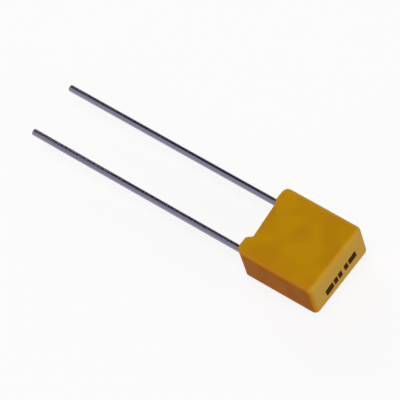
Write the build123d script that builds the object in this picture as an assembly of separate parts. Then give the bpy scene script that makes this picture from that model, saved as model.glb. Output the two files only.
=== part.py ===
"""A polyester film capacitor in a moulded box with two straight leads, lying on one of its large faces.

Millimetres. +X runs across the two leads, from left to right as seen from the closed end. +Y runs along
the leads, away from the closed end. +Z is up, out of the large face that is uppermost. The origin is on
the surface that the part lies on, under the middle of its overall length and width.

Each piece is drawn with the seating plane, where a circuit board would touch the feet, at y = 0,
and is moved to its place in the part's frame when it is written.
"""

import os
from math import pi

from build123d import *

# Moulded case, outside
case_length = 7.2
case_height = 7.7
case_thickness = 3.9
edge_radius = 0.5
rim_radius = 0.1

# Feet and the recess between them, seen square on to a large face
foot_tip = 1.5
foot_base = 1.9
foot_corner_radius = 0.75
recess_depth_left = 0.5
recess_depth_right = 0.2
recess_corner_radius = 0.15

# Moulded case, inside
side_wall = 0.45
large_wall = 0.45
end_wall = 0.5
cavity_corner_radius = 0.35
cavity_floor_radius = 0.2
draft_angle = 0.6
rib_width = 0.5
rib_inset = 0.8
rib_lead_in = 0.7

# Cast resin in the open side
resin_edge_depth = 0.58
resin_dish_depth = 0.12
resin_dish_radius = 0.108
resin_creep = 0.15
collar_radius = 0.12
collar_root = 0.1

# Film winding and its sprayed end contacts
winding_cover = 1.1
winding_side_gap = 0.25
winding_end_gap = 0.3
contact_thickness = 0.5
contact_edge_chamfer = 0.12

# Leads
lead_inset = 1.06
lead_diameter = 0.6
lead_free_length = 22.9
lead_tip_chamfer = 0.06
pressed_thickness = 0.45
weld_margin = 0.8

# Worked out from the sizes above
lead_radius = lead_diameter / 2
lead_pitch = case_length - 2 * lead_inset
mid_z = case_thickness / 2
seat_y = (case_height - lead_free_length) / 2
mouth_length = case_length - 2 * side_wall
mouth_thickness = case_thickness - 2 * large_wall
cavity_depth = case_height - end_wall
winding_height = cavity_depth - winding_cover - winding_end_gap
winding_thickness = mouth_thickness - 2 * winding_side_gap
winding_mid_y = -winding_cover - winding_height / 2
contact_span = lead_pitch - pressed_thickness
winding_length = contact_span - 2 * contact_thickness
weld_end_y = -winding_cover - winding_height + weld_margin
# the wire keeps its cross-section area where it is pressed flat
pressed_width = (pi * lead_radius**2 + (1 - pi / 4) * pressed_thickness**2) / pressed_thickness

LEFT = -1
RIGHT = 1


def across(y, x=0.0):
    """A plane across the leads' direction, through mid-thickness, that extrudes towards the closed end."""
    return Plane(origin=(x, y, mid_z), x_dir=(1, 0, 0), z_dir=(0, -1, 0))


def plan_outline():
    """The case square on to a large face: closed end, two feet and the sloping recess between them."""
    half = case_length / 2
    tip = half - foot_tip
    base = half - foot_base
    outline = make_face(
        Polyline(
            (-half, -case_height),
            (half, -case_height),
            (half, 0),
            (tip, 0),
            (base, -recess_depth_right),
            (-base, -recess_depth_left),
            (-tip, 0),
            (-half, 0),
            close=True,
        )
    )
    rim = outline.vertices().filter_by(lambda v: v.Y > -case_height / 2)
    outline = fillet(rim.filter_by(lambda v: abs(v.X) > half - foot_tip / 2), foot_corner_radius)
    rim = outline.vertices().filter_by(lambda v: v.Y > -case_height / 2)
    return fillet(rim.filter_by(lambda v: abs(v.X) < half - foot_tip / 2), recess_corner_radius)


def outer_form():
    """The solid block of the case, with its moulded edges and its rim rounded."""
    block = Pos(0, -case_height / 2, mid_z) * Box(case_length, case_height, case_thickness)
    moulded = block.edges().filter_by(lambda e: e.center().Y < -case_height / 4)
    block = fillet(moulded, edge_radius)
    silhouette = extrude(plan_outline(), case_thickness)
    rim = silhouette.faces().filter_by(Axis.Z).edges()
    return block & fillet(rim, rim_radius)


def cavity():
    """The drafted hollow of the case, from the seating plane to the closed end's inner face."""
    mouth = across(0) * RectangleRounded(mouth_length, mouth_thickness, cavity_corner_radius)
    hollow = extrude(mouth, cavity_depth, taper=draft_angle)
    floor = hollow.faces().sort_by(Axis.Y)[0]
    return fillet(floor.edges(), cavity_floor_radius)


def winding_block(length):
    """The flattened roll's outline, a run of the given length along X."""
    section = Plane.YZ * Pos(winding_mid_y, mid_z) * SlotOverall(winding_height, winding_thickness)
    return Pos(-length / 2, 0, 0) * extrude(section, length)


def cradle_ribs():
    """Two ribs inside the case that fit round the roll and hold it off the walls."""
    rib_top = winding_cover + rib_lead_in
    rib_run = cavity_depth - rib_top
    ribs = Part()
    for side in (LEFT, RIGHT):
        place = Pos(side * (winding_length / 2 - rib_inset), -rib_top - rib_run / 2, mid_z)
        ribs += place * Box(rib_width, rib_run, mouth_thickness)
    return (ribs & cavity()) - winding_block(contact_span)


def case():
    return outer_form() - cavity() + cradle_ribs()


def film_winding():
    return winding_block(winding_length)


def end_contact(side):
    """The sprayed metal layer on one end of the roll, with its outer edge bevelled."""
    layer = Pos(side * (winding_length + contact_thickness) / 2, 0, 0) * winding_block(contact_thickness)
    outer_face = layer.faces().sort_by(Axis.X)[-1 if side == RIGHT else 0]
    return chamfer(outer_face.edges(), contact_edge_chamfer)


def lead(side):
    """One wire: round outside, and pressed flat from the seating plane to the weld on the end contact."""
    x = side * lead_pitch / 2
    round_part = extrude(across(0, x) * Circle(lead_radius), -lead_free_length)
    tip = round_part.faces().sort_by(Axis.Y)[-1]
    round_part = chamfer(tip.edges(), lead_tip_chamfer)
    flat_section = SlotOverall(pressed_width, pressed_thickness, rotation=90)
    flat_start = across(-winding_cover, x) * flat_section
    taper_part = loft([across(0, x) * Circle(lead_radius), flat_start])
    flat_part = extrude(flat_start, -winding_cover - weld_end_y)
    return round_part + taper_part + flat_part


def collar(side):
    """The ring of resin that has crept up one lead: a hollow curved flank over a root in the filling."""
    inner = pressed_width / 2
    outer = inner + collar_radius
    flank = TangentArc((outer, 0), (inner, collar_radius), tangent=(-1, 0))
    top = Polyline((inner, collar_radius), (0, collar_radius), (0, -collar_root))
    root = Polyline((0, -collar_root), (outer, -collar_root), (outer, 0))
    ring = revolve(make_face([flank, top, root]), Axis.Y)
    return Pos(side * lead_pitch / 2, -resin_edge_depth - resin_dish_depth, mid_z) * ring


def potting_resin():
    """The cast filling: the cavity's form below a slightly dished surface, less all that it surrounds."""
    filling = cavity()
    filling -= extrude(across(0) * Rectangle(case_length, case_thickness), resin_edge_depth)
    dish_outline = RectangleRounded(
        mouth_length - 2 * resin_creep, mouth_thickness - 2 * resin_creep, cavity_corner_radius
    )
    dish = extrude(across(-resin_edge_depth) * dish_outline, resin_dish_depth)
    dish_floor = dish.faces().sort_by(Axis.Y)[0]
    filling -= fillet(dish_floor.edges(), resin_dish_radius)
    for side in (LEFT, RIGHT):
        filling += collar(side)
    filling -= cradle_ribs()
    filling -= film_winding()
    for side in (LEFT, RIGHT):
        filling -= end_contact(side)
        filling -= lead(side)
    return filling


def write(node, piece):
    """Moves one piece to its place in the part's frame and writes it under its node's name."""
    export_step(Pos(0, seat_y, 0) * piece, f"parts/{node}.step")


os.makedirs("parts", exist_ok=True)
write("case", case())
write("potting_resin", potting_resin())
write("film_winding", film_winding())
write("end_contact_left", end_contact(LEFT))
write("end_contact_right", end_contact(RIGHT))
write("lead_left", lead(LEFT))
write("lead_right", lead(RIGHT))
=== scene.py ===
"""Finishes a film capacitor in a moulded box: the plastic of its case, the marks on the closed end, the
cast resin, the film roll with its sprayed ends, and the tinned wires. Then it lays out the studio.

Everything is in metres, in the part's own frame. +X runs across the leads, +Y along them away from the
closed end, and +Z is up. The part lies on one of its large faces, on z = 0.
"""

from math import pi, radians

import bmesh
import bpy
from bpy.props import FloatProperty, FloatVectorProperty, PointerProperty
from mathutils import Matrix, Vector


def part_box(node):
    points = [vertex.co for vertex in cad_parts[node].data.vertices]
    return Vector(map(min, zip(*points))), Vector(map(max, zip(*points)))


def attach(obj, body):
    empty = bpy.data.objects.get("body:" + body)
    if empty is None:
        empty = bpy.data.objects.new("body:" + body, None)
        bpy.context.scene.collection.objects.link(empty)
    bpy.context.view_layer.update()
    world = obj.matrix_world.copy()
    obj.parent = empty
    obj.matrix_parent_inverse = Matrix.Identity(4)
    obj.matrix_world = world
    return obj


bl_info = {
    "name": "Film Capacitor",
    "version": (1, 0, 0),
    "blender": (4, 5, 0),
    "location": "3D View > Sidebar > Capacitor",
    "description": "Finishes the case, print, resin, roll and leads of a film capacitor, and lights it",
    "category": "Object",
}

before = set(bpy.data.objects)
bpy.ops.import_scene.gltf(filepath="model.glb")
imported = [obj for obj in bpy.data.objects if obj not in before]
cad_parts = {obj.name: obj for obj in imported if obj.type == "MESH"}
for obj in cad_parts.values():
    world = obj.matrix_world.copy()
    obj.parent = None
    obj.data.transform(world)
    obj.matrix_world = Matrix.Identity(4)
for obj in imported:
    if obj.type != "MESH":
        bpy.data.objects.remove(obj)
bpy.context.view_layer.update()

MM = 0.001
WHITE = (1.0, 1.0, 1.0)

# Noise values between which each pattern goes from its first colour to its second
CLOUD_SPAN = (0.4, 0.62)
WEAR_SPAN = (0.5, 0.8)
STREAK_SPAN = (0.35, 0.7)
TURN_SPAN = (0.4, 0.6)
DROP_SPAN = (0.35, 0.6)
DULL_SPAN = (0.4, 0.7)

# Noise values between which a pattern's roughness changes
ROUGHNESS_SPAN = (0.3, 0.7)

# Squareness of the surface between which the painted highlight on a rounded edge fades out
HIGHLIGHT_SPAN = (0.75, 0.97)

# An edge of a printed mark is a corner where at least this share of its direction is along Y
CORNER_SHARE = 0.9

# A Mix node has sockets for each kind of value. These are the colours that it takes and gives
MIX_FIRST, MIX_SECOND, MIX_RESULT = 6, 7, 2

# How near the camera sees, as a share of its distance, and how far, in radii of the floor
NEAREST = 0.05
FARTHEST = 4

case_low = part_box("case")[0]
lead_low, lead_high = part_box("lead_right")
lead_axis = (lead_low + lead_high) / 2


def colour(title, default, description):
    """A colour that a user can change."""
    return FloatVectorProperty(
        name=title, description=description, subtype="COLOR", size=3, default=default, min=0, max=1
    )


def length(title, millimetres, description):
    """A length that a user can change, given in millimetres and kept in metres."""
    return FloatProperty(
        name=title, description=description, unit="LENGTH", default=millimetres * MM, precision=5
    )


def share(title, default, description):
    """A number from 0 to 1 that a user can change."""
    return FloatProperty(
        name=title, description=description, subtype="FACTOR", default=default, min=0, max=1
    )


def angle(title, degrees, description):
    """An angle that a user can change, given in degrees and kept in radians."""
    return FloatProperty(
        name=title, description=description, unit="ROTATION", default=radians(degrees)
    )


def direction(title, default, description):
    """A direction from the part that a user can change."""
    return FloatVectorProperty(
        name=title, description=description, subtype="DIRECTION", size=3, default=default
    )


def power(title, watts, description):
    """The power of a lamp, which a user can change."""
    return FloatProperty(name=title, description=description, unit="POWER", default=watts, min=0)


class CapacitorCaseSettings(bpy.types.PropertyGroup):
    plastic: colour("Plastic", (0.45, 0.236, 0.002), "Main colour of the moulded case")
    deep_plastic: colour("Deep plastic", (0.41, 0.2, 0.002), "Colour of the darker clouds")
    # Painted reflection: the closed end's paler colour stands in for the sheen that the end face catches
    closed_end_sheen: colour("Pale plastic", (0.52, 0.332, 0.05), "Colour of the closed end")
    closed_end_sheen_depth: length("Pale depth", 0.14, "How far the paler colour reaches in from the closed end")
    # Painted highlight: the paler colour of the rounded edges stands in for the light they catch
    edge_highlight: colour("Rubbed plastic", (0.52, 0.285, 0.035), "Colour of the rounded edges")
    highlight_share: share("Rub", 0.75, "How far the rounded edges take the rubbed colour")
    cloud_size: length("Cloud size", 2.4, "Width of the clouds in the plastic's colour")
    grain_size: length("Grain size", 0.06, "Width of the mould's fine surface grain")
    grain_depth: length("Grain depth", 0.005, "Depth of the mould's fine surface grain")
    sink_size: length("Sink size", 2.2, "Width of the shallow waves that cooling leaves in the walls")
    sink_depth: length("Sink depth", 0.03, "Depth of the shallow waves that cooling leaves in the walls")
    sheen: share("Sheen", 0.02, "Strength of the plastic's surface reflection")
    smooth_roughness: share("Smooth roughness", 0.36, "Roughness of the plastic where it is smoothest")
    dull_roughness: share("Dull roughness", 0.5, "Roughness of the plastic where it is dullest")


class CapacitorPrintSettings(bpy.types.PropertyGroup):
    ink: colour("Ink", (0.028, 0.011, 0.001), "Colour of the printed marks")
    worn_ink: colour("Worn ink", (0.11, 0.045, 0.006), "Colour of the ink where it is thin")
    sheen: share("Sheen", 0.02, "Strength of the ink's surface reflection")
    start: length("Start", 2.17, "Place across the leads where the row of marks starts, from the middle")
    height: length("Height", 0.8, "Height of each mark, along the case's thickness")
    far_level: length("Far level", 1.8, "Height of the row's middle above the floor where it starts")
    slope: angle("Slope", 5.5, "How steeply the row falls from its start")
    wide_mark: length("Wide mark", 1.0, "Width of each of the two wide marks, at the row's ends")
    narrow_mark: length("Narrow mark", 0.46, "Width of each narrow mark between them")
    mark_gap: length("Mark gap", 0.15, "Gap between two marks of a group")
    group_gap: length("Group gap", 0.36, "Gap between the two groups of marks")
    thickness: length("Thickness", 0.012, "Thickness of the ink, half of it keyed into the plastic")
    corner: length("Corner", 0.06, "Radius of a mark's corners")
    wear_size: length("Wear size", 0.1, "Width of the places where the ink is thin")
    wear_depth: length("Wear depth", 0.003, "Depth of the places where the ink is thin")
    smooth_roughness: share("Smooth roughness", 0.45, "Roughness of the ink where it is smoothest")
    dull_roughness: share("Dull roughness", 0.7, "Roughness of the ink where it is dullest")


class CapacitorResinSettings(bpy.types.PropertyGroup):
    resin: colour("Resin", (0.38, 0.205, 0.02), "Main colour of the cast resin")
    amber: colour("Amber", (0.31, 0.15, 0.012), "Colour of the resin where it is thin and clear")
    streak_size: length("Streak size", 1.1, "Width of the mixing streaks")
    wave_depth: length("Wave depth", 0.02, "Depth of the slow waves in the set surface")
    sheen: share("Sheen", 0.18, "Strength of the resin's surface reflection")
    smooth_roughness: share("Smooth roughness", 0.3, "Roughness of the set resin where it is smoothest")
    dull_roughness: share("Dull roughness", 0.45, "Roughness of the set resin where it is dullest")


class CapacitorRollSettings(bpy.types.PropertyGroup):
    film: colour("Film", (0.42, 0.43, 0.46), "Colour of the metallised film")
    film_edge: colour("Film edge", (0.26, 0.27, 0.3), "Colour of the film between two turns")
    turn_spacing: length("Turn spacing", 0.05, "Spacing of the lines that the turns leave")
    turn_length: length("Turn length", 20, "Length of those lines")
    turn_depth: length("Turn depth", 0.005, "Depth of those lines")
    film_metal: share("Film metal", 0.8, "How far the film reflects as metal does")
    film_smooth: share("Film smooth", 0.25, "Roughness of the film where it is smoothest")
    film_dull: share("Film dull", 0.4, "Roughness of the film where it is dullest")
    spray: colour("Spray", (0.46, 0.47, 0.49), "Colour of the sprayed metal")
    spray_pit: colour("Spray pit", (0.27, 0.27, 0.28), "Colour of the pits between the sprayed drops")
    drop_size: length("Drop size", 0.09, "Width of a sprayed drop")
    drop_depth: length("Drop depth", 0.02, "Height of a sprayed drop")
    spray_metal: share("Spray metal", 0.7, "How far the sprayed layer reflects as metal does")
    drop_roughness: share("Drop roughness", 0.6, "Roughness of the sprayed drops")
    pit_roughness: share("Pit roughness", 0.8, "Roughness of the pits between the drops")


class CapacitorLeadSettings(bpy.types.PropertyGroup):
    tin: colour("Tin", (0.34, 0.315, 0.415), "Colour of the tin plating")
    dull_tin: colour("Dull tin", (0.27, 0.245, 0.335), "Colour of the tin where it has dulled")
    copper: colour("Copper", (0.6, 0.26, 0.14), "Colour of the copper that shows at the cut end")
    steel: colour("Steel", (0.35, 0.34, 0.34), "Colour of the steel core that shows at the cut end")
    core_radius: length("Core radius", 0.17, "Radius of the steel core")
    core_edge: length("Core edge", 0.01, "Width over which the steel gives way to the copper")
    cut_reach: length("Cut reach", 0.004, "How far the bare metal of the cut end reaches along the wire")
    patch_width: length("Patch width", 1.5, "Width of the places where the tin has dulled")
    patch_length: length("Patch length", 12, "Length of those places")
    bright_roughness: share("Bright roughness", 0.15, "Roughness of the tin where it is brightest")
    dull_roughness: share("Dull roughness", 0.25, "Roughness of the tin where it has dulled")
    line_width: length("Line width", 0.15, "Width of the fine lines that drawing leaves along the wire")
    line_length: length("Line length", 12.0, "Length of those lines")
    line_depth: length("Line depth", 0.00015, "Depth of those lines")


class CapacitorStudioSettings(bpy.types.PropertyGroup):
    aim: FloatVectorProperty(
        name="Aim",
        description="Point at the middle of the picture",
        subtype="TRANSLATION",
        unit="LENGTH",
        size=3,
        default=(-0.67 * MM, -1.38 * MM, 2.32 * MM),
        precision=5,
    )
    azimuth: angle("Azimuth", -35.03, "Turn of the camera round the part, from the closed end")
    elevation: angle("Elevation", 56.91, "Height of the camera above the floor, as an angle")
    roll: angle("Roll", -20.61, "Turn of the picture about the line of sight")
    distance: length("Distance", 297.2, "Distance from the camera to the aim")
    picture_width: length("Picture width", 33.0, "Width of what the picture shows, at the aim")
    floor_radius: length("Floor radius", 2000, "Radius of the floor")
    floor_gap: length("Floor gap", 0.01, "Gap that keeps the floor clear of the part's lower face")
    floor_colour: colour("Floor", (0.82, 0.82, 0.82), "Colour of the floor where it is seen")
    floor_bounce: colour("Floor bounce", (0.2, 0.1, 0.05), "Colour of the floor's light on the part")
    floor_glow: share("Floor glow", 0.85, "How far the floor is taken to plain white where it is seen")
    floor_roughness: share("Floor roughness", 0.9, "Roughness of the floor")
    floor_sheen: share("Floor sheen", 0.1, "Strength of the floor's surface reflection")
    tone_size: length("Tone size", 60, "Width of the faint changes in the floor's tone")
    tone: share("Tone", 0.97, "Tone of the floor where it is darkest, as a share of its colour")
    key_power: power("Key power", 0.72, "Power of the lamp overhead")
    front_power: power("Front power", 1.22, "Power of the lamp on the closed end")
    side_power: power("Side power", 0.52, "Power of the lamp on the near side")
    side_tint: colour("Side tint", (1.0, 0.28, 0.15), "Colour of the lamp on the near side")
    back_power: power("Back power", 1.0, "Power of the lamp behind the leads")
    key_way: direction("Key way", (-0.1, -0.03, 1.0), "Direction of the lamp overhead")
    front_way: direction("Front way", (0.1, -0.97, 0.15), "Direction of the lamp on the closed end")
    side_way: direction("Side way", (-0.9, -0.1, 0.3), "Direction of the lamp on the near side")
    back_way: direction("Back way", (0.5, 0.85, 0.3), "Direction of the lamp behind the leads")
    lamp_size: length("Lamp size", 240, "Width of each soft lamp")
    lamp_distance: length("Lamp distance", 380, "Distance of each soft lamp from the part")
    room: colour("Room", (0.16, 0.16, 0.165), "Colour of the room's light on the part")
    dark_room: colour("Dark room", (0.03, 0.028, 0.035), "Colour of the room where metal mirrors it")
    patch: colour("Patch", (0.65, 0.62, 0.7), "Colour of the room's pale patches")
    back_patch: direction("Back patch", (-0.663, 0.5, 0.557), "Direction of the patch behind the leads")
    front_patch: direction("Front patch", (-0.663, -0.5, 0.557), "Direction of the patch in front")
    patch_edge: share("Patch edge", 0.70, "Cosine of the angle from a patch's middle to its edge")
    patch_core: share("Patch core", 0.80, "Cosine of the angle up to which it has its full colour")


class Wiring:
    """Short ways to add nodes to a node tree and join them."""

    def __init__(self, tree):
        self.tree = tree

    def add(self, kind, sockets=None, **settings):
        """A new node. Each entry of sockets is a plain value, or the output that feeds that input."""
        node = self.tree.nodes.new(kind)
        for name, value in settings.items():
            setattr(node, name, value)
        for name, value in (sockets or {}).items():
            if isinstance(value, bpy.types.NodeSocket):
                self.tree.links.new(value, node.inputs[name])
            else:
                node.inputs[name].default_value = value
        return node

    def between(self, value, start, end, low=0.0, high=1.0):
        """The value taken from start..end to low..high, and held there."""
        ramp = self.add(
            "ShaderNodeMapRange",
            {"Value": value, "From Min": start, "From Max": end, "To Min": low, "To Max": high},
        )
        return ramp.outputs["Result"]

    def maths(self, operation, first, second=0.0):
        """The result of one operation on two numbers: each is an output, or a plain number."""
        return self.add("ShaderNodeMath", {0: first, 1: second}, operation=operation).outputs["Value"]

    def blend(self, amount, first, second):
        """A colour between two: each is an output, or a plain colour."""
        node = self.add("ShaderNodeMix", data_type="RGBA")
        factor, start, end = node.inputs["Factor"], node.inputs[MIX_FIRST], node.inputs[MIX_SECOND]
        for socket, value in ((factor, amount), (start, first), (end, second)):
            if isinstance(value, bpy.types.NodeSocket):
                self.tree.links.new(value, socket)
            elif socket == factor:
                socket.default_value = value
            else:
                socket.default_value = (*value, 1.0)
        return node.outputs[MIX_RESULT]


class Finish(Wiring):
    """A material that is being made, with its main shader."""

    def __init__(self, name):
        self.material = bpy.data.materials.new(name)
        self.material.use_nodes = True
        super().__init__(self.material.node_tree)
        self.shader = self.tree.nodes["Principled BSDF"]
        self.here = self.add("ShaderNodeTexCoord").outputs["Object"]

    def fix(self, name, value):
        """Sets an input of the main shader to one plain value."""
        self.shader.inputs[name].default_value = value

    def feed(self, name, output):
        """Joins an output to an input of the main shader."""
        self.tree.links.new(output, self.shader.inputs[name])

    def mottle(self, pattern, span, first, second):
        """A colour that goes from the first to the second as the pattern crosses the span."""
        return self.blend(self.between(pattern, *span), first, second)

    def roughen(self, pattern, low, high):
        """Roughness that follows a pattern: low where it is low, and high where it is high."""
        self.feed("Roughness", self.between(pattern, *ROUGHNESS_SPAN, low, high))

    def noise(self, size, detail=2.0, soft=0.5):
        """Noise whose features are about that size: one number, or one for each axis."""
        sizes = Vector(size) if hasattr(size, "__len__") else Vector((size, size, size))
        scale = Vector((1 / sizes.x, 1 / sizes.y, 1 / sizes.z))
        place = self.add("ShaderNodeMapping", {"Vector": self.here, "Scale": scale})
        texture = self.add(
            "ShaderNodeTexNoise",
            {"Vector": place.outputs["Vector"], "Scale": 1.0, "Detail": detail, "Roughness": soft},
        )
        return texture.outputs["Fac"]

    def squareness(self):
        """1 on a surface square to one of the part's axes, and less on a rounded edge between two."""
        normal = self.add("ShaderNodeTexCoord").outputs["Normal"]
        sides = self.add("ShaderNodeVectorMath", {0: normal}, operation="ABSOLUTE").outputs["Vector"]
        along = self.add("ShaderNodeSeparateXYZ", {"Vector": sides}).outputs
        level = self.maths("MAXIMUM", along["X"], along["Y"])
        return self.maths("MAXIMUM", level, along["Z"])

    def bump(self, height, depth, below=None):
        """A relief of that depth, on top of the relief below it if there is one."""
        sockets = {"Height": height, "Distance": depth, "Strength": 1.0}
        if below is not None:
            sockets["Normal"] = below
        return self.add("ShaderNodeBump", sockets).outputs["Normal"]


def dress(node, material):
    """Gives a node of the frame its finish."""
    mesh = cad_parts[node].data
    mesh.materials.clear()
    mesh.materials.append(material)


def case_finish(look):
    """Moulded plastic: cloudy ochre with a fine grain and slow sink waves, a closed end made paler by
    painted reflection, and a painted highlight on the rounded edges.
    """
    finish = Finish("case_plastic")
    clouds = finish.noise(look.cloud_size, detail=1.0)
    clouded = finish.mottle(clouds, CLOUD_SPAN, look.plastic, look.deep_plastic)
    place = finish.add("ShaderNodeSeparateXYZ", {"Vector": finish.here}).outputs
    # Painted reflection: the closed end is taken to a paler colour
    pale = finish.between(place["Y"], case_low.y, case_low.y + look.closed_end_sheen_depth, low=1.0, high=0.0)
    # Painted highlight: the rounded edges are taken to a paler colour
    rounded = finish.between(finish.squareness(), *HIGHLIGHT_SPAN, low=look.highlight_share, high=0.0)
    highlighted = finish.blend(rounded, clouded, look.edge_highlight)
    finish.feed("Base Color", finish.blend(pale, highlighted, look.closed_end_sheen))
    finish.fix("Specular IOR Level", look.sheen)
    finish.roughen(clouds, look.smooth_roughness, look.dull_roughness)
    sinks = finish.bump(finish.noise(look.sink_size, detail=1.0), look.sink_depth)
    grain = finish.noise(look.grain_size)
    finish.feed("Normal", finish.bump(grain, look.grain_depth, below=sinks))
    return finish.material


def ink_finish(look):
    """Matt ink, thinner in places, so that the plastic shows a little."""
    finish = Finish("print_ink")
    wear = finish.noise(look.wear_size, detail=3.0, soft=0.7)
    finish.feed("Base Color", finish.mottle(wear, WEAR_SPAN, look.ink, look.worn_ink))
    finish.fix("Specular IOR Level", look.sheen)
    finish.roughen(wear, look.smooth_roughness, look.dull_roughness)
    finish.feed("Normal", finish.bump(wear, look.wear_depth))
    return finish.material


def resin_finish(look):
    """Cast resin: glossy, with mixing streaks and slow waves."""
    finish = Finish("potting_resin")
    streaks = finish.noise((look.streak_size, look.streak_size, look.streak_size / 2), detail=3.0)
    finish.feed("Base Color", finish.mottle(streaks, STREAK_SPAN, look.resin, look.amber))
    finish.fix("Specular IOR Level", look.sheen)
    finish.roughen(streaks, look.smooth_roughness, look.dull_roughness)
    waves = finish.noise(look.streak_size, detail=1.0)
    finish.feed("Normal", finish.bump(waves, look.wave_depth))
    return finish.material


def film_finish(look):
    """Metallised film, with the fine lines of its turns."""
    finish = Finish("film_turns")
    turns = finish.noise((look.turn_length, look.turn_spacing, look.turn_spacing))
    finish.feed("Base Color", finish.mottle(turns, TURN_SPAN, look.film, look.film_edge))
    finish.fix("Metallic", look.film_metal)
    finish.roughen(turns, look.film_smooth, look.film_dull)
    finish.feed("Normal", finish.bump(turns, look.turn_depth))
    return finish.material


def spray_finish(look):
    """Sprayed metal: dull drops with darker pits between them."""
    finish = Finish("sprayed_metal")
    drops = finish.noise(look.drop_size, detail=3.0, soft=0.65)
    finish.feed("Base Color", finish.mottle(drops, DROP_SPAN, look.spray_pit, look.spray))
    finish.fix("Metallic", look.spray_metal)
    finish.roughen(drops, look.pit_roughness, look.drop_roughness)
    finish.feed("Normal", finish.bump(drops, look.drop_depth))
    return finish.material


def tin_finish(look):
    """Tinned wire: dulled in places, with drawing lines, and bare copper and steel at the cut end."""
    finish = Finish("tinned_wire")
    patches = finish.noise((look.patch_width, look.patch_length, look.patch_width), detail=1.0)
    dulled = finish.between(patches, *DULL_SPAN)
    tin = finish.blend(dulled, look.tin, look.dull_tin)

    place = finish.add("ShaderNodeSeparateXYZ", {"Vector": finish.here}).outputs
    across = finish.maths("SUBTRACT", finish.maths("ABSOLUTE", place["X"]), lead_axis.x)
    upward = finish.maths("SUBTRACT", place["Z"], lead_axis.z)
    squares = finish.maths("ADD", finish.maths("POWER", across, 2.0), finish.maths("POWER", upward, 2.0))
    radius = finish.maths("SQRT", squares)
    core = finish.between(radius, look.core_radius, look.core_radius + look.core_edge)
    metals = finish.blend(core, look.steel, look.copper)
    at_cut = finish.between(place["Y"], lead_high.y - look.cut_reach, lead_high.y - look.cut_reach / 2)
    finish.feed("Base Color", finish.blend(at_cut, tin, metals))

    finish.fix("Metallic", 1.0)
    roughness = finish.between(dulled, 0.0, 1.0, look.bright_roughness, look.dull_roughness)
    finish.feed("Roughness", roughness)
    lines = finish.noise((look.line_width, look.line_length, look.line_width))
    finish.feed("Normal", finish.bump(lines, look.line_depth))
    return finish.material


def print_mark(bm, centre, width, look):
    """Adds one flat mark with rounded corners to the mesh, on the closed end."""
    size = Matrix.Diagonal((width, look.thickness, look.height, 1.0))
    made = bmesh.ops.create_cube(bm, size=1.0, matrix=Matrix.Translation(centre) @ size)
    faces = {face for vert in made["verts"] for face in vert.link_faces}
    edges = {edge for face in faces for edge in face.edges}
    runs = {edge: (edge.verts[0].co - edge.verts[1].co).normalized() for edge in edges}
    corners = [edge for edge, run in runs.items() if abs(run.y) > CORNER_SHARE]
    bmesh.ops.bevel(
        bm, geom=corners, offset=look.corner, segments=3, profile=0.5, affect="EDGES", material=-1
    )


def finish_piece(bm, name, material):
    """Turns the mesh into a piece that rides on the part."""
    bmesh.ops.recalc_face_normals(bm, faces=bm.faces)
    mesh = bpy.data.meshes.new(name)
    bm.to_mesh(mesh)
    bm.free()
    mesh.materials.append(material)
    piece = bpy.data.objects.new(name, mesh)
    bpy.context.scene.collection.objects.link(piece)
    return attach(piece, "root")


class CAPACITOR_OT_finish_case(bpy.types.Operator):
    """Give the case its moulded plastic"""

    bl_idname = "capacitor.finish_case"
    bl_label = "Finish Case"

    def execute(self, context):
        dress("case", case_finish(context.scene.capacitor_case))
        return {"FINISHED"}


class CAPACITOR_OT_print_marks(bpy.types.Operator):
    """Print a row of plain marks on the closed end of the case"""

    bl_idname = "capacitor.print_marks"
    bl_label = "Print Marks"

    def execute(self, context):
        look = context.scene.capacitor_print
        widths = (look.wide_mark, look.narrow_mark, look.narrow_mark, look.narrow_mark, look.wide_mark)
        gaps = (look.mark_gap, look.group_gap, look.mark_gap, look.mark_gap, 0.0)
        start = Vector((look.start, case_low.y, look.far_level))
        bm = bmesh.new()
        edge = 0.0
        for width, gap in zip(widths, gaps):
            print_mark(bm, start - Vector((edge + width / 2, 0, 0)), width, look)
            edge += width + gap
        turn = Matrix.Rotation(-look.slope, 3, "Y")
        bmesh.ops.rotate(bm, verts=bm.verts, cent=start, matrix=turn)
        finish_piece(bm, "print_marks", ink_finish(look))
        return {"FINISHED"}


class CAPACITOR_OT_finish_resin(bpy.types.Operator):
    """Give the cast resin its gloss"""

    bl_idname = "capacitor.finish_resin"
    bl_label = "Finish Resin"

    def execute(self, context):
        dress("potting_resin", resin_finish(context.scene.capacitor_resin))
        return {"FINISHED"}


class CAPACITOR_OT_finish_roll(bpy.types.Operator):
    """Give the film roll and its sprayed ends their metals"""

    bl_idname = "capacitor.finish_roll"
    bl_label = "Finish Roll"

    def execute(self, context):
        look = context.scene.capacitor_roll
        dress("film_winding", film_finish(look))
        spray = spray_finish(look)
        for node in ("end_contact_left", "end_contact_right"):
            dress(node, spray)
        return {"FINISHED"}


class CAPACITOR_OT_finish_leads(bpy.types.Operator):
    """Give the two wires their tin"""

    bl_idname = "capacitor.finish_leads"
    bl_label = "Finish Leads"

    def execute(self, context):
        tin = tin_finish(context.scene.capacitor_leads)
        for node in ("lead_left", "lead_right"):
            dress(node, tin)
        return {"FINISHED"}


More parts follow.
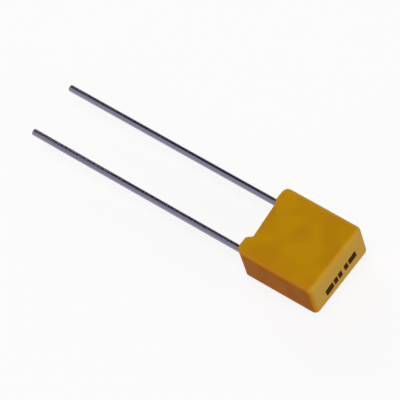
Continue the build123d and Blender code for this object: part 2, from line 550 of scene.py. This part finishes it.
def floor_finish(look):
    """White that keeps the part's shadow. The light that it throws on the part has its own colour."""
    finish = Finish("studio_floor")
    tone = finish.noise(look.tone_size)
    dimmed = [value * look.tone for value in look.floor_colour]
    rays = finish.add("ShaderNodeLightPath").outputs
    seen = finish.maths("MAXIMUM", rays["Is Camera Ray"], rays["Is Glossy Ray"])
    seen = finish.maths("MAXIMUM", seen, rays["Is Transmission Ray"])
    white = finish.blend(tone, look.floor_colour, dimmed)
    finish.feed("Base Color", finish.blend(seen, look.floor_bounce, white))
    finish.fix("Roughness", look.floor_roughness)
    finish.fix("Specular IOR Level", look.floor_sheen)
    amount = finish.maths("MULTIPLY", seen, look.floor_glow)
    glow = finish.add("ShaderNodeEmission", {"Color": (*WHITE, 1.0), "Strength": 1.0})
    layers = {0: amount, 1: finish.shader.outputs["BSDF"], 2: glow.outputs["Emission"]}
    mixed = finish.add("ShaderNodeMixShader", layers).outputs["Shader"]
    finish.tree.links.new(mixed, finish.tree.nodes["Material Output"].inputs["Surface"])
    return finish.material


def lay_floor(look):
    """A round floor, just under the part."""
    bm = bmesh.new()
    bmesh.ops.create_circle(bm, cap_ends=True, segments=64, radius=look.floor_radius)
    bmesh.ops.translate(bm, verts=bm.verts, vec=(0, 0, -look.floor_gap))
    mesh = bpy.data.meshes.new("floor")
    bm.to_mesh(mesh)
    bm.free()
    mesh.materials.append(floor_finish(look))
    floor = bpy.data.objects.new("floor", mesh)
    bpy.context.scene.collection.objects.link(floor)


def hang_lamp(name, way, energy, tint, look):
    """A soft square lamp that shines on the part from that direction."""
    lamp = bpy.data.lights.new(name, "AREA")
    lamp.shape = "SQUARE"
    lamp.size = look.lamp_size
    lamp.energy = energy
    lamp.color = tint
    holder = bpy.data.objects.new(name, lamp)
    away = Vector(way).normalized()
    turn = away.to_track_quat("Z", "Y").to_matrix().to_4x4()
    holder.matrix_world = Matrix.Translation(away * look.lamp_distance) @ turn
    bpy.context.scene.collection.objects.link(holder)
    return holder


def paint_room(look):
    """An even room. Metal mirrors it darker, with two pale patches that make a light band on a lead."""
    world = bpy.data.worlds.new("studio_room")
    world.use_nodes = True
    room = Wiring(world.node_tree)
    away = room.add("ShaderNodeTexCoord").outputs["Generated"]
    near = []
    for way in (look.back_patch, look.front_patch):
        middle = Vector(way).normalized()
        closeness = room.add("ShaderNodeVectorMath", {0: away, 1: middle}, operation="DOT_PRODUCT")
        near.append(closeness.outputs["Value"])
    patch = room.between(room.maths("MAXIMUM", *near), look.patch_edge, look.patch_core)
    mirrored = room.blend(patch, look.dark_room, look.patch)
    in_metal = room.add("ShaderNodeLightPath").outputs["Is Glossy Ray"]
    seen = room.blend(in_metal, look.room, mirrored)
    room.tree.links.new(seen, room.tree.nodes["Background"].inputs["Color"])
    bpy.context.scene.world = world


def place_camera(look):
    """The camera, turned round the aim and rolled. At azimuth 0 it looks along +Y."""
    lens = bpy.data.cameras.new("camera")
    lens.lens = lens.sensor_width * look.distance / look.picture_width
    lens.clip_start = look.distance * NEAREST
    lens.clip_end = look.floor_radius * FARTHEST
    camera = bpy.data.objects.new("camera", lens)
    turn = Matrix.Rotation(look.azimuth, 4, "Z") @ Matrix.Rotation(pi / 2 - look.elevation, 4, "X")
    back = Matrix.Translation((0, 0, look.distance))
    roll = Matrix.Rotation(look.roll, 4, "Z")
    camera.matrix_world = Matrix.Translation(look.aim) @ turn @ roll @ back
    bpy.context.scene.collection.objects.link(camera)
    bpy.context.scene.camera = camera


class CAPACITOR_OT_set_studio(bpy.types.Operator):
    """Lay the floor, hang the lamps, paint the room and place the camera"""

    bl_idname = "capacitor.set_studio"
    bl_label = "Set Studio"

    def execute(self, context):
        look = context.scene.capacitor_studio
        lay_floor(look)
        hang_lamp("key_lamp", look.key_way, look.key_power, WHITE, look)
        hang_lamp("back_lamp", look.back_way, look.back_power, WHITE, look)
        front = hang_lamp("front_lamp", look.front_way, look.front_power, WHITE, look)
        side = hang_lamp("side_lamp", look.side_way, look.side_power, look.side_tint, look)
        front.visible_glossy = side.visible_glossy = False
        paint_room(look)
        place_camera(look)
        context.scene.view_settings.view_transform = "Standard"
        return {"FINISHED"}


STEPS = (
    CAPACITOR_OT_finish_case,
    CAPACITOR_OT_print_marks,
    CAPACITOR_OT_finish_resin,
    CAPACITOR_OT_finish_roll,
    CAPACITOR_OT_finish_leads,
    CAPACITOR_OT_set_studio,
)


class CAPACITOR_PT_sidebar(bpy.types.Panel):
    """The steps that finish the capacitor, in order"""

    bl_label = "Film Capacitor"
    bl_space_type = "VIEW_3D"
    bl_region_type = "UI"
    bl_category = "Capacitor"

    def draw(self, context):
        for step in STEPS:
            self.layout.operator(step.bl_idname)


SETTINGS = {
    "capacitor_case": CapacitorCaseSettings,
    "capacitor_print": CapacitorPrintSettings,
    "capacitor_resin": CapacitorResinSettings,
    "capacitor_roll": CapacitorRollSettings,
    "capacitor_leads": CapacitorLeadSettings,
    "capacitor_studio": CapacitorStudioSettings,
}


def register():
    for name, group in SETTINGS.items():
        bpy.utils.register_class(group)
        setattr(bpy.types.Scene, name, PointerProperty(type=group))
    for cls in (*STEPS, CAPACITOR_PT_sidebar):
        bpy.utils.register_class(cls)


def unregister():
    for cls in (CAPACITOR_PT_sidebar, *reversed(STEPS)):
        bpy.utils.unregister_class(cls)
    for name, group in reversed(SETTINGS.items()):
        delattr(bpy.types.Scene, name)
        bpy.utils.unregister_class(group)


def main():
    register()
    bpy.ops.capacitor.finish_case()
    bpy.ops.capacitor.print_marks()
    bpy.ops.capacitor.finish_resin()
    bpy.ops.capacitor.finish_roll()
    bpy.ops.capacitor.finish_leads()
    bpy.ops.capacitor.set_studio()


if __name__ == "__main__":
    main()
